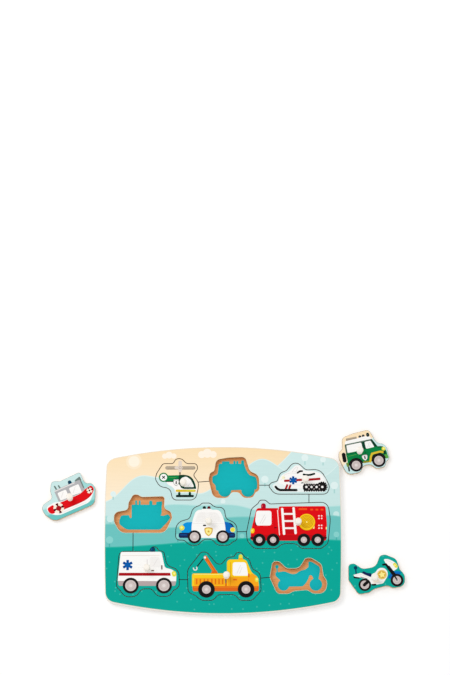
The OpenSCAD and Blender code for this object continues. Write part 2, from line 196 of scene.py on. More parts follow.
def newGroup(name, inputs, outputs):
    tree = bpy.data.node_groups.new(name, "ShaderNodeTree")
    for way, sockets in (("INPUT", inputs), ("OUTPUT", outputs)):
        for socketName, kind in sockets.items():
            tree.interface.new_socket(name=socketName, in_out=way, socket_type="NodeSocket" + kind)
    return tree, tree.nodes.new("NodeGroupInput").outputs, tree.nodes.new("NodeGroupOutput")


finishOutputs = {"Color": "Color", "Roughness": "Float", "Height": "Float"}

woodLook = dict(
    fibre=(0.035, 0.75, 0.75),  # stretch of the fibres, with the grain along X
    figure=(0.008, 0.11, 0.11),  # stretch of the broad growth bands
    pore=(0.18, 2.6, 2.6),
    poreStep=(-9.0, 3.4),  # slope and start that leave pores in the lowest noise only
    poreTone=0.35, poreSink=-0.8, fibreTone=0.62, bandTone=0.45, bandCount=46.0,
    roughness=(0.22, 0.46), specular=0.3,
)


def buildWoodGroup():
    look = woodLook
    tree, start, end = newGroup("sandedWood", {"Place": "Vector", "Pale": "Color", "Dark": "Color"}, finishOutputs)
    place = start["Place"]
    fibre = streaks(tree, place, look["fibre"], detail=5.0, roughness=0.6)
    figure = streaks(tree, place, look["figure"], detail=2.0, distortion=0.6)
    bands = ramp(tree, calc(tree, "SINE", calc(tree, "MULTIPLY", figure, look["bandCount"])), 0.5, 0.5)
    grain = ramp(tree, bands, look["bandTone"], calc(tree, "MULTIPLY", fibre, look["fibreTone"]))
    pores = ramp(tree, streaks(tree, place, look["pore"], detail=1.0), *look["poreStep"], clamp=True)
    tone = ramp(tree, pores, look["poreTone"], grain, clamp=True)
    feed(tree, end, {"Color": mixColor(tree, tone, start["Pale"], start["Dark"]),
                     "Roughness": ramp(tree, fibre, *look["roughness"]),
                     "Height": ramp(tree, pores, look["poreSink"], fibre)})
    return tree


inkLook = dict(
    grain=(0.03, 0.55, 0.55),  # wood grain that shows faintly through the ink
    speckle=2.2,  # fine screen of the print, per millimetre
    grainTone=0.09, speckleTone=0.05, speckleRise=0.35, roughness=(0.2, 0.34), specular=0.06, relief=0.03,
)


def buildInkGroup():
    look = inkLook
    tree, start, end = newGroup("inkOnWood", {"Place": "Vector", "Color": "Color"}, finishOutputs)
    grain = streaks(tree, start["Place"], look["grain"], detail=4.0, roughness=0.55)
    speckle = noise(tree, start["Place"], look["speckle"], detail=1.0)
    light = ramp(tree, grain, look["grainTone"], 1.0 - look["grainTone"] / 2.0)
    light = calc(tree, "ADD", light, ramp(tree, speckle, look["speckleTone"], -look["speckleTone"] / 2.0))
    shade = addNode(tree, "VectorMath", {0: start["Color"], "Scale": light}, operation="SCALE")
    feed(tree, end, {"Color": shade.outputs[0], "Roughness": ramp(tree, grain, *look["roughness"]),
                     "Height": ramp(tree, speckle, look["speckleRise"], grain)})
    return tree


# The landscape: hills from the back to the front, with a line of waves each, in millimetres
landscape = dict(
    softEdge=0.35, sky=srgb(251, 224, 180), skyLow=srgb(253, 235, 208), skyLowEdge=(40, 105),
    sun=(-113, 88), sunRings=[(10, srgb(253, 234, 203)), (7, srgb(255, 244, 224))],
    cloudColor=srgb(255, 243, 226), cloudPuffs=[(-27, 97, 4.6), (-20, 98.8, 5.8), (-12.5, 97.2, 4.4),
                                                (-74, 95, 3.4), (-68.5, 96.4, 4.4), (-62.5, 95.2, 3.4)],
    crestWidth=1.3,
    trunkHalf=0.9, trunkShare=2.1,  # half width, and length for each millimetre of the bush's radius
    petalSpacing=15, petalSize=1, petalColor=srgb(60, 184, 168),
    # Colors are of the hill, its crest, its bushes and their trunks. Bushes have a place and a radius
    hills=[
        dict(colors=[(209, 235, 233), (224, 242, 240), (228, 244, 242), (178, 218, 215)], base=22, slope=0.95,
             waves=[(5, 17, 0.4)], bushes=[(127, 90.5, 3.6), (104, 93, 4.4)]),
        dict(colors=[(202, 231, 229), (220, 241, 238), (224, 242, 240), (171, 214, 211)], base=68, slope=0.13,
             waves=[(15, 22.3, 5.83), (2.5, 8.6, 2)],
             bushes=[(53, 65, 4.6), (141, 57, 4.8), (0, 36.5, 3), (-139, 46, 3.6)]),
        dict(colors=[(160, 217, 214), (186, 227, 224), (200, 233, 230), (138, 203, 199)], base=28, slope=0.02,
             waves=[(7, 36, 2.5), (2.5, 15, 0.3)], bushes=[(-142.5, 14, 4.4), (52, 20.5, 3.6), (143, 20, 3.8)]),
        dict(colors=[(108, 195, 191), (136, 207, 202), (136, 210, 205), (78, 178, 173)], base=12, slope=0.02,
             waves=[(5.5, 52, 0.2), (2.5, 21, 1.4)],
             bushes=[(-57, -8.5, 3.4), (-143, -13, 4.6), (24, -8, 3), (143, -6, 3.6)]),
        dict(colors=[(0, 167, 151), (45, 181, 165)], base=-15, slope=0.02, waves=[(4, 60, 0.9)], bushes=[]),
    ],
)


def buildLandscapeGroup():
    look = landscape
    tree, start, end = newGroup("landscapePicture", {"Place": "Vector"}, {"Color": "Color"})
    split = addNode(tree, "SeparateXYZ", {0: start["Place"]}).outputs
    across, up = split["X"], split["Y"]
    flat = addNode(tree, "CombineXYZ", {"X": across, "Y": up}).outputs[0]

    def inside(size, away):  # one where the size is more than the way from the middle, with a soft edge
        return ramp(tree, calc(tree, "SUBTRACT", size, away), 1.0 / look["softEdge"], 0.5, clamp=True)

    def disc(x, y, radius):
        away = addNode(tree, "VectorMath", {0: flat, 1: (x, y, 0.0)}, operation="DISTANCE")
        return inside(radius, away.outputs["Value"])

    def trunk(x, y, radius):
        half = radius * look["trunkShare"] / 2.0
        side = calc(tree, "ABSOLUTE", calc(tree, "SUBTRACT", across, x))
        drop = calc(tree, "ABSOLUTE", calc(tree, "SUBTRACT", up, y - half))
        return calc(tree, "MULTIPLY", inside(look["trunkHalf"], side), inside(half, drop))

    low, high = look["skyLowEdge"]
    rise = ramp(tree, up, 1.0 / (high - low), -low / (high - low), clamp=True)
    picture = mixColor(tree, rise, look["skyLow"], look["sky"])

    def paint(mask, color):
        nonlocal picture
        picture = mixColor(tree, mask, picture, color)

    for radius, color in look["sunRings"]:
        paint(disc(*look["sun"], radius), color)
    for puff in look["cloudPuffs"]:
        paint(disc(*puff), look["cloudColor"])
    for hill in look["hills"]:
        top = ramp(tree, across, hill["slope"], hill["base"])
        for size, length, shift in hill["waves"]:
            top = ramp(tree, calc(tree, "SINE", ramp(tree, across, 1.0 / length, shift)), size, top)
        depth = calc(tree, "SUBTRACT", top, up)
        below = inside(depth, look["crestWidth"])
        face, crest, *plant = [srgb(*color) for color in hill["colors"]]
        paint(inside(depth, 0.0), crest)
        paint(below, face)
        for bush in hill["bushes"]:
            paint(trunk(*bush), plant[1])
            paint(disc(*bush), plant[0])

    spacing = look["petalSpacing"]
    inputs = {"Vector": flat, "Scale": 1.0 / spacing}
    petals = addNode(tree, "TexVoronoi", inputs, voronoi_dimensions="2D", feature="F1")
    dots = inside(look["petalSize"], calc(tree, "MULTIPLY", petals.outputs["Distance"], spacing))
    paint(calc(tree, "MULTIPLY", dots, below), look["petalColor"])  # on the foremost hill only
    feed(tree, end, {"Color": picture})
    return tree


woodGroup = buildWoodGroup()
inkGroup = buildInkGroup()
landscapeGroup = buildLandscapeGroup()
print("shader groups are built")


# Materials

def useGroup(tree, group, **inputs):
    return addNode(tree, "Group", inputs, node_tree=group)


def placeOn(tree, turn=0.0, shift=(0.0, 0.0), tip=0.0):
    # Place on the object in millimetres, turned and shifted (metres) by a Mapping node
    inputs = {"Vector": addNode(tree, "TexCoord").outputs["Object"],
              "Rotation": (0.0, tip, turn), "Location": (*shift, 0.0)}
    moved = addNode(tree, "Mapping", inputs, vector_type="POINT").outputs[0]
    return addNode(tree, "VectorMath", {0: moved, "Scale": 1.0 / mm}, operation="SCALE").outputs[0]


bumpStrength = 0.5


def dress(tree, shader, finish, relief):
    inputs = {"Strength": bumpStrength, "Distance": relief * mm, "Height": finish.outputs["Height"]}
    bump = addNode(tree, "Bump", inputs)
    feed(tree, shader, {"Base Color": finish.outputs["Color"], "Roughness": finish.outputs["Roughness"],
                        "Normal": bump.outputs[0]})


plyLook = dict(layer=1.5, glueLine=0.16, glueTone=0.7, glue=srgb(222, 200, 170))


def woodMaterial(name, pale, dark, turn=0.0, tip=0.0, relief=0.06, layered=False):
    material, tree, shader = newMaterial(name, woodLook["specular"])
    place = placeOn(tree, turn, tip=tip)
    wood = useGroup(tree, woodGroup, Place=place, Pale=srgb(*pale), Dark=srgb(*dark))
    dress(tree, shader, wood, relief)
    if layered:  # sheet edges, with thin glue lines between the layers
        height = addNode(tree, "SeparateXYZ", {0: place}).outputs["Z"]
        layer = calc(tree, "PINGPONG", height, plyLook["layer"] / 2.0)
        line = calc(tree, "LESS_THAN", layer, plyLook["glueLine"] / 2.0)
        soft = calc(tree, "MULTIPLY", line, plyLook["glueTone"])
        feed(tree, shader, {"Base Color": mixColor(tree, soft, wood.outputs["Color"], plyLook["glue"])})
    return material


def inkMaterial(name, color=None, turn=0.0, shift=(0.0, 0.0)):  # one ink, or the landscape without a color
    material, tree, shader = newMaterial(name, inkLook["specular"])
    place = placeOn(tree, turn, shift)
    ink = srgb(*color) if color else useGroup(tree, landscapeGroup, Place=place).outputs["Color"]
    dress(tree, shader, useGroup(tree, inkGroup, Place=place, Color=ink), inkLook["relief"])
    return material


upright = pi / 2.0  # tip of the grain for pieces whose end grain shows
rimBirch = woodMaterial("rimBirch", (253, 251, 247), (244, 237, 226), relief=0.08, layered=True)
baseBirch = woodMaterial("baseBirch", (240, 224, 196), (206, 172, 126))
recessFloor = woodMaterial("recessFloor", (238, 174, 112), (212, 138, 78))
sawnWall = woodMaterial("sawnWall", (212, 144, 84), (160, 98, 48), tip=upright, relief=0.1)
tileSide = woodMaterial("tileSide", (242, 226, 202), (216, 188, 152), tip=upright, relief=0.1)
# painted shade: dark wood for the walls and edges along narrow saw cuts, standing in for the shadow deep in the cut
paintedKerfShade = woodMaterial("paintedKerfShade", (52, 42, 38), (24, 19, 18))
sandedEdge = woodMaterial("sandedEdge", (250, 234, 208), (232, 204, 166))
tileBack = woodMaterial("tileBack", (238, 220, 190), (204, 170, 126), turn=0.1)
pegWood = woodMaterial("pegWood", (255, 252, 247), (246, 236, 220), tip=upright, relief=0.05)

inkColors = dict(
    white=(251, 249, 246), chalk=(244, 241, 238), mist=(228, 224, 222), shell=(232, 220, 210), cream=(250, 236, 218),
    snow=(235, 243, 241), black=(14, 12, 13), tyre=(16, 13, 14), tread=(44, 40, 42), slate=(96, 104, 106),
    hub=(208, 195, 192), ring=(188, 175, 174), cap=(226, 217, 214), grey=(180, 163, 163), zinc=(178, 178, 180),
    lead=(108, 126, 120), mauve=(134, 106, 104), brown=(132, 112, 94), beige=(182, 167, 146), tan=(158, 142, 120),
    sand=(227, 213, 200), red=(224, 4, 16), brick=(198, 2, 16), wine=(168, 2, 18), crimson=(168, 4, 38),
    ruby=(168, 6, 20), maroon=(96, 0, 14), rose=(255, 84, 80), coral=(244, 78, 26), pink=(255, 226, 222),
    yellow=(252, 206, 26), lemon=(232, 224, 66), glow=(250, 246, 206), gold=(218, 172, 66), straw=(255, 240, 146),
    ochre=(202, 140, 8), orange=(250, 168, 24), amber=(224, 110, 16), rust=(226, 102, 22), green=(0, 128, 66),
    forest=(0, 60, 38), night=(8, 34, 28), leaf=(88, 166, 70), fern=(112, 140, 56), sage=(84, 108, 90),
    olive=(150, 140, 22), mustard=(222, 190, 50), blue=(0, 104, 188), cyan=(0, 148, 220), navy=(14, 34, 84),
    azure=(0, 88, 168), cobalt=(0, 62, 128), petrol=(0, 62, 88),
)
inks = {name: inkMaterial("ink_" + name, color) for name, color in inkColors.items()}
inks["teal"] = inkMaterial("recessTeal", (16, 182, 188))  # for the floors of the openings
print("materials are made:", len(bpy.data.materials))


# Pieces cut from the two sheets, as copies of the CAD solids with their edges sanded

edges = dict(  # roundings have a size in millimetres and steps
    rimRound=(1.35, 5),  # the board's upper rim
    footRound=(0.6, 3), backRound=(0.25, 1),
    seamRound=(0.15, 1),  # eased edge where the two sheets meet
    recessRound=(0.45, 3),  # sanded edge of an empty opening
    cutRound=(0.28, 1),  # edge along a tight saw cut, coloured dark as painted shade of the narrow cut
    tightCut=1.0,  # a cut with another wall this near is a tight one
    probe=0.02,  # where a look across a cut starts, off its own wall
    inkRoom=0.08,  # room under a tile for the ink on the recess floor
    weld=0.005, flatAngle=0.5, softAngle=35.0,  # angles in degrees
    sideTilt=0.2, levelTilt=0.9, flatTilt=0.999,  # upward share of a normal: most of a side's, least of the others'
)


def addPiece(name, bm, materials, body, slot, *replaced):
    piece = meshObject(name, bm, materials)
    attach(piece, body)
    if replaced:
        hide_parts(*replaced)


def putDown(bm, spot, height, turn=0.0):  # from millimetres round the origin to its place in metres
    place = Matrix.Translation((spot.x, spot.y, height)) @ Matrix.Rotation(radians(turn), 4, "Z")
    bmesh.ops.transform(bm, matrix=place @ Matrix.Scale(mm, 4), verts=bm.verts[:])


def cadCopy(node):
    bm = bmesh.new()
    bm.from_mesh(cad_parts[node].data)
    bmesh.ops.remove_doubles(bm, verts=bm.verts[:], dist=edges["weld"] * mm)
    bmesh.ops.dissolve_limit(bm, angle_limit=radians(edges["flatAngle"]), verts=bm.verts[:], edges=bm.edges[:])
    return bm


def sideFaces(bm):
    return {f for f in bm.faces if abs(f.normal.z) < edges["sideTilt"]}


def outerWall(bm):  # side faces reached from the rightmost one
    sides = sideFaces(bm)
    found = {max(sides, key=lambda f: f.calc_center_median().x)}
    queue = list(found)
    while queue:
        near = {f for e in queue.pop().edges for f in e.link_faces if f in sides and f not in found}
        found |= near
        queue += near
    return found


def rimEdges(bm, walls, up):  # edges between these walls and the top (up=1) or the underside (up=-1)
    return [e for e in bm.edges if len(e.link_faces) == 2
            and any(f in walls for f in e.link_faces)
            and any(f.normal.z * up > edges["levelTilt"] for f in e.link_faces)]


def wallBelow(edge, walls):
    return next(f for f in edge.link_faces if f in walls)


def opensWide(edge, walls, trees):  # no other wall stands close across the cut
    way = wallBelow(edge, walls).normal
    middle = (edge.verts[0].co + edge.verts[1].co) / 2.0
    start = middle + (way * edges["probe"] - upward) * mm
    return not any(tree.ray_cast(start, way, edges["tightCut"] * mm)[0] for tree in trees)


def roundEdges(bm, chosen, rounding, coat):
    size, steps = edges[rounding]
    made = bmesh.ops.bevel(bm, geom=chosen, offset=size * mm, offset_type="OFFSET", affect="EDGES",
                           segments=steps, profile=0.5, material=-1, clamp_overlap=False)
    for face in made["faces"]:
        face.material_index = coat


def roundRims(bm, walls, up, rounding, coat):
    roundEdges(bm, rimEdges(bm, walls, up), rounding, coat)


def smoothFaces(bm, angle=edges["softAngle"], crispFlats=True):  # crisp along flat faces where asked
    for face in bm.faces:
        face.smooth = True
    for edge in bm.edges:
        flat = crispFlats and any(abs(f.normal.z) > edges["flatTilt"] for f in edge.link_faces)
        edge.smooth = not flat and edge.calc_face_angle(pi) < radians(angle)


def sortFaces(bm, walls, top, wall, otherWall, under):
    sides = sideFaces(bm)
    for face in bm.faces:
        if face in sides:
            face.material_index = wall if face in walls else otherWall
        else:
            face.material_index = top if face.normal.z > 0.0 else under


def buildBaseBoard():
    bm = cadCopy("base_board")
    top, rim, under = range(3)  # places in the list of materials
    walls = outerWall(bm)
    sortFaces(bm, walls, top, rim, rim, under)
    roundRims(bm, walls, -1, "footRound", rim)
    roundRims(bm, sideFaces(bm), 1, "seamRound", rim)
    smoothFaces(bm)
    addPiece("base_board_sheet", bm, [recessFloor, rimBirch, baseBirch], "board", "base_wood", "base_board")


def buildFaceBoard(picture):
    bm = cadCopy("face_board")
    top, rim, sawn, sanded, under, kerfShade = range(6)
    walls = outerWall(bm)
    sortFaces(bm, walls, top, rim, sawn, under)
    solids = [cadCopy(name + "_tile") for name in vehicles] + [bm]
    trees = [BVHTree.FromBMesh(solid) for solid in solids]
    for solid in solids[:-1]:
        solid.free()
    cuts = sideFaces(bm) - walls
    openRims = [e for e in rimEdges(bm, cuts, 1) if opensWide(e, cuts, trees)]
    for edge in rimEdges(bm, cuts, 1):
        if not opensWide(edge, cuts, trees[-1:]):  # a saw cut between two openings, whose wall gets the dark painted shade of the narrow cut
            wallBelow(edge, cuts).material_index = kerfShade
    roundEdges(bm, openRims, "recessRound", sanded)
    # rims along tight cuts are rounded and get the dark painted shade of the narrow cut
    roundRims(bm, sideFaces(bm) - outerWall(bm), 1, "cutRound", kerfShade)
    roundRims(bm, outerWall(bm), 1, "rimRound", rim)
    roundRims(bm, outerWall(bm), -1, "seamRound", rim)
    smoothFaces(bm)
    addPiece("face_board_sheet", bm, [picture, rimBirch, sawnWall, sandedEdge, baseBirch, paintedKerfShade], "board",
             "printed_face", "face_board")


def buildTile(vehicle, picture):
    bm = cadCopy(vehicle + "_tile")
    top, side, back, kerfShade = range(4)
    room = edges["inkRoom"] * mm
    low = min(v.co.z for v in bm.verts)
    for vert in [v for v in bm.verts if v.co.z < low + room]:
        vert.co.z += room
    walls = outerWall(bm)
    sortFaces(bm, walls, top, side, side, back)
    # the tile's top edge is rounded and gets the dark painted shade of the narrow cut around it
    roundRims(bm, walls, 1, "cutRound", kerfShade)
    roundRims(bm, outerWall(bm), -1, "backRound", side)
    smoothFaces(bm)
    addPiece(vehicle + "_tile_wood", bm, [picture, tileSide, tileBack, paintedKerfShade], vehicle, vehicle + "_print",
             vehicle + "_tile")


# Turned pegs

pegShape = dict(
    headRadius=4.3, waistRadius=2.5, footRadius=3.7, tenonRadius=1.95, tenonLength=3.6, crown=0.01,
    headEdge=2.3, headArc=(-75.0, 80.0),  # radius of the head's rounded edge, and from and to which angle it runs
    footEdge=0.8, footArc=(-90.0, 60.0),
    waistFoot=(0.12, 2.6),  # wider near the foot: by how much, and how far up
    waistNeck=(0.1, 1.2),  # wider below the head: by how much, and how far down
    arcSteps=8, turnSteps=48, weld=0.001, softAngle=50.0,
)


def middleOfPeg(vehicle):
    low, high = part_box(vehicle + "_peg")
    return (low + high) / 2.0


def buildPeg(vehicle):
    shape = pegShape
    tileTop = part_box(vehicle + "_tile")[1].z
    tall = (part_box(vehicle + "_peg")[1].z - tileTop) / mm
    headEdge, footEdge, waist = shape["headEdge"], shape["footEdge"], shape["waistRadius"]
    headFlat = shape["headRadius"] - headEdge
    waistTop = tall - 2.0 * headEdge
    (wideFoot, footUp), (wideNeck, neckDown) = shape["waistFoot"], shape["waistNeck"]

    def arc(x, z, radius, start, stop):
        steps = shape["arcSteps"]
        angles = [radians(start + (stop - start) * k / steps) for k in range(steps + 1)]
        return [(x + radius * cos(a), z + radius * sin(a)) for a in angles]

    tenon, tenonFoot = shape["tenonRadius"], -shape["tenonLength"]
    outline = [(0.0, tenonFoot), (tenon, tenonFoot), (tenon, 0.0),
               *arc(shape["footRadius"] - footEdge, footEdge, footEdge, *shape["footArc"]),
               (waist + wideFoot, footUp), (waist, waistTop / 2.0), (waist + wideNeck, waistTop - neckDown),
               *arc(headFlat, tall - headEdge, headEdge, *shape["headArc"]),
               (headFlat / 2.0, tall - shape["crown"]), (0.0, tall)]
    bm = bmesh.new()
    ring = [bm.verts.new((x, 0.0, z)) for x, z in outline]
    wire = [bm.edges.new(pair) for pair in zip(ring, ring[1:])]
    bmesh.ops.spin(bm, geom=ring + wire, cent=(0.0, 0.0, 0.0), axis=upward, angle=2.0 * pi,
                   steps=shape["turnSteps"], use_merge=True)
    bmesh.ops.remove_doubles(bm, verts=bm.verts[:], dist=shape["weld"])
    bmesh.ops.recalc_face_normals(bm, faces=bm.faces[:])
    putDown(bm, middleOfPeg(vehicle), tileTop)
    smoothFaces(bm, shape["softAngle"], crispFlats=False)
    addPiece(vehicle + "_peg_turned", bm, [pegWood], vehicle, "peg_wood", vehicle + "_peg")


# Printed vehicles: thin layers of ink, drawn in millimetres from the middle of the vehicle's picture

inkLayer = dict(first=0.012, step=0.004, gap=0.002)
inkShape = dict(roundSteps=6, discSteps=40, archSteps=6, archStep=8.0, tipRound=0.99, bendRound=0.6)
wheelLook = dict(treadIn=0.7, treadWidth=0.35, ringShare=0.66, ringWidth=0.55, capShare=0.3)


def patchFace(bm, corners):
    ring = [bm.verts.new((x, y, 0.0)) for x, y, cut in corners]
    bm.faces.new(ring)
    for size in sorted({cut for x, y, cut in corners if cut > 0.0}):
        chosen = [v for v, (x, y, cut) in zip(ring, corners) if cut == size]
        bmesh.ops.bevel(bm, geom=chosen, offset=size, offset_type="OFFSET", affect="VERTICES",
                        segments=inkShape["roundSteps"], profile=0.5, material=-1, clamp_overlap=True)


def strokeFace(bm, width, tip, points):
    line = [Vector(point) for point in points]
    ways = [(b - a).normalized() for a, b in zip(line, line[1:])]
    half = width / 2.0
    last = len(line) - 1
    left, right = [], []
    for k, point in enumerate(line):
        after = ways[min(k, last - 1)]
        way = (ways[max(k - 1, 0)] + after).normalized()
        side = Vector((-way.y, way.x)) * (half / way.dot(after))
        cut = half * (tip if k in (0, last) else inkShape["bendRound"])
        end = point + way * half * ((k == last) - (k == 0))
        left.append((*(end + side), cut))
        right.append((*(end - side), cut))
    patchFace(bm, left + right[::-1])


def discFace(bm, x, y, radius):
    bmesh.ops.create_circle(bm, cap_ends=True, segments=inkShape["discSteps"], radius=radius,
                            matrix=Matrix.Translation((x, y, 0.0)))


def archFace(bm, x, y, radius, width, start, stop):
    way = Vector((cos(radians(start)), sin(radians(start)), 0.0))
    middle = Vector((x, y, 0.0))
    ends = [bm.verts.new(middle + way * (radius + side * width / 2.0)) for side in (-1.0, 1.0)]
    edge = bm.edges.new(ends)
    turn = stop - start
    bmesh.ops.spin(bm, geom=ends + [edge], cent=middle, axis=upward, angle=radians(turn),
                   steps=max(inkShape["archSteps"], int(turn / inkShape["archStep"])), use_merge=turn == 360)


# Each shape is what makes its face, its ink, and its sizes

def patch(ink, cut, *corners):  # corners with a third number have their own cut, where their rounding starts
    return patchFace, ink, [(*corner, cut)[:3] for corner in corners]


def stroke(ink, width, *points, tip=inkShape["tipRound"]):  # a line of even width with rounded ends
    return strokeFace, ink, width, tip, points


def line(ink, width, x, y, endX, endY, tip=inkShape["tipRound"]):
    return stroke(ink, width, (x, y), (endX, endY), tip=tip)


def lines(ink, width, *ends, **settings):
    return [line(ink, width, *end, **settings) for end in ends]


def disc(ink, x, y, radius):
    return discFace, ink, x, y, radius


def arch(ink, x, y, radius, width, start=0, stop=360):  # a ring, or part of one from an angle to another
    return archFace, ink, x, y, radius, width, start, stop


def star(ink, x, y, radius, share=0.5, points=5, soft=0.05):
    corners = []
    for k in range(2 * points):
        reach = radius if k % 2 == 0 else radius * share
        angle = pi / 2.0 + pi * k / points
        corners.append((x + reach * cos(angle), y + reach * sin(angle)))
    return patch(ink, soft * radius, *corners)


def shield(ink, x, y, half):
    corners = (-1, 0.8, 0.2), (0, 1.1, 0.6), (1, 0.8, 0.2), (0.9, -0.4, 0.5), (0, -1.2, 0.3), (-0.9, -0.4, 0.5)
    return patch(ink, 0, *[(x + half * a, y + half * b, half * cut) for a, b, cut in corners])


def sign(x, y, half, rim=0.5, barWidth=0.42, barReach=0.35):  # plain pale shield with a dark bar
    reach = half * barReach
    return [shield("slate", x, y, half), shield("white", x, y, half - rim),
            line("black", half * barWidth, x, y + reach, x, y - reach)]


def dome(ink, x, foot, half, tall, crown=0.96, soft=0.2):
    left, right, top = x - half, x + half, foot + tall
    return patch(ink, half * crown, (left, foot, soft), (left, top), (right, top), (right, foot, soft))


def asterisk(x, y, reach, width, tip=0.4, dot=0.3):
    arms = [(reach * cos(radians(a)), reach * sin(radians(a))) for a in (30, 90, 150)]
    return lines("azure", width, *[(x - a, y - b, x + a, y + b) for a, b in arms], tip=tip) + [
        disc("cobalt", x + a * turn, y + b * turn, width * dot) for a, b in arms for turn in (-1, 1)]


def tyres(vehicle):
    return [disc("tyre", x, y, radius) for x, y, radius, hub in vehicle.get("wheels", [])]


def hubs(vehicle):
    look, shapes = wheelLook, []
    for x, y, radius, hub in vehicle.get("wheels", []):
        shapes += [arch("tread", x, y, radius - look["treadIn"], look["treadWidth"]), disc("hub", x, y, hub),
                   arch("ring", x, y, hub * look["ringShare"], look["ringWidth"]),
                   disc("cap", x, y, hub * look["capShare"])]
    return shapes


def drawShapes(shapes, only=None):
    sheet, materials = bmesh.new(), []
    for number, (maker, ink, *sizes) in enumerate(shapes):
        shape = bmesh.new()
        maker(shape, *sizes)
        top = inkLayer["first"] + inkLayer["step"] * number
        raised = bmesh.ops.extrude_face_region(shape, geom=shape.faces[:])
        lifted = [v for v in raised["geom"] if isinstance(v, bmesh.types.BMVert)]
        bmesh.ops.translate(shape, verts=lifted, vec=upward * (top - inkLayer["gap"]))
        bmesh.ops.translate(shape, verts=shape.verts[:], vec=upward * inkLayer["gap"])
        bmesh.ops.recalc_face_normals(shape, faces=shape.faces[:])
        material = only or inks[ink]
        if material not in materials:
            materials.append(material)
        for face in shape.faces:
            face.material_index = materials.index(material)
        part = bpy.data.meshes.new("shape")
        shape.to_mesh(part)
        shape.free()
        sheet.from_mesh(part)
        bpy.data.meshes.remove(part)
    return sheet, materials


# Each vehicle: the way from the picture's middle to the peg, its turn, the ground behind it, its plain body shapes,
# its details, what lies in front of the wheels, and the wheels with their place, radius and hub. The floor of its
# opening shows the body and wheels, or a shadow of its own. A loose vehicle has its opening's middle, the recess.

vehicles = {}

vehicles["helicopter"] = dict(peg=(8.2, -5.45), turn=0, body=[
    line("beige", 4.6, -12.4, 15, 21.4, 15), line("sand", 4.4, 4.2, 22, 4.2, 12, 0.5),
    patch("brown", 0.3, (2.8, 9.4), (5.2, 9.4), (4.9, 6), (3.1, 6)),
    patch("white", 2, (-14, -1), (-8, 4, 1), (5, 6), (17, 5, 6), (24, -4, 5), (25.4, -11), (24.6, -17, 3), (-2, -17),
        (-2.6, -13), (-5.4, -9.4, 3), (-12, -6.4, 3)),
    disc("green", -16.7, 2.8, 6),
    patch("green", 0.6, (-13, 5.2), (4, 5.6), (5, 0.1, 0.4), (-3.7, 0, 0.4), (-3.9, -3.3, 0.5), (-14, -3.2, 1)),
    patch("forest", 1.5, (2.4, 5.8), (11, 6.3, 5), (18.6, 3.6, 4), (23.2, -4, 5), (24.8, -12.2, 0.6),
        (7.4, -12.3, 2.5), (4.8, -8.8), (4.4, -6.6, 0.8), (2.2, -4.8, 2)),
    *lines("forest", 3, (3.3, -17.6, 3.3, -21), (16.7, -17.6, 16.7, -21)), line("night", 3, 0.5, -21.4, 20.4, -21.4),
], details=[
    *lines("tan", 0.8, (-11.5, 13.5, 0.5, 13.5), (7.5, 13.5, 20.5, 13.5)),
    stroke("tan", 0.7, (21.8, 16.4), (22.9, 15), (21.8, 13.6)), line("sand", 3.8, -1, 15.2, 5.4, 15.2),
    arch("tan", 4.2, 15.2, 1.5, 0.5), line("forest", 1.2, -14, -2.7, -4.6, -2.6),
    line("forest", 0.9, -3.2, 0.5, 3.6, 0.6), line("leaf", 0.5, -10, 2.4, -1, 2.6), disc("white", -16.7, 2.8, 4.4),
    *lines("black", 1.2, (-18.1, 4.2, -15.3, 1.4), (-18.1, 1.4, -15.3, 4.2)),
    patch("white", 2, (5, 0.6), (8.8, 3.5, 2.5), (12.8, 3.5, 4), (17.8, -0.4, 4), (21.7, -8.5), (21.4, -9.9, 0.6),
        (9.6, -9.9), (8, -6.8, 1.5), (5, -4.4)),
    *lines("mist", 0.7, (14, -9, 18.6, -3.4), (16.8, -9, 19.6, -5.6)), *sign(-0.7, -4.2, 3.8),
    stroke("forest", 1.6, (5.4, 2.4), (3.5, -2), (3.5, -5.8), (5.2, -7.8), (5.9, -10), (8.4, -11.2)),
    line("mustard", 3, 0.2, -14.6, 22.6, -14.6), line("lemon", 1.2, 12, -14.3, 22, -14.3),
])

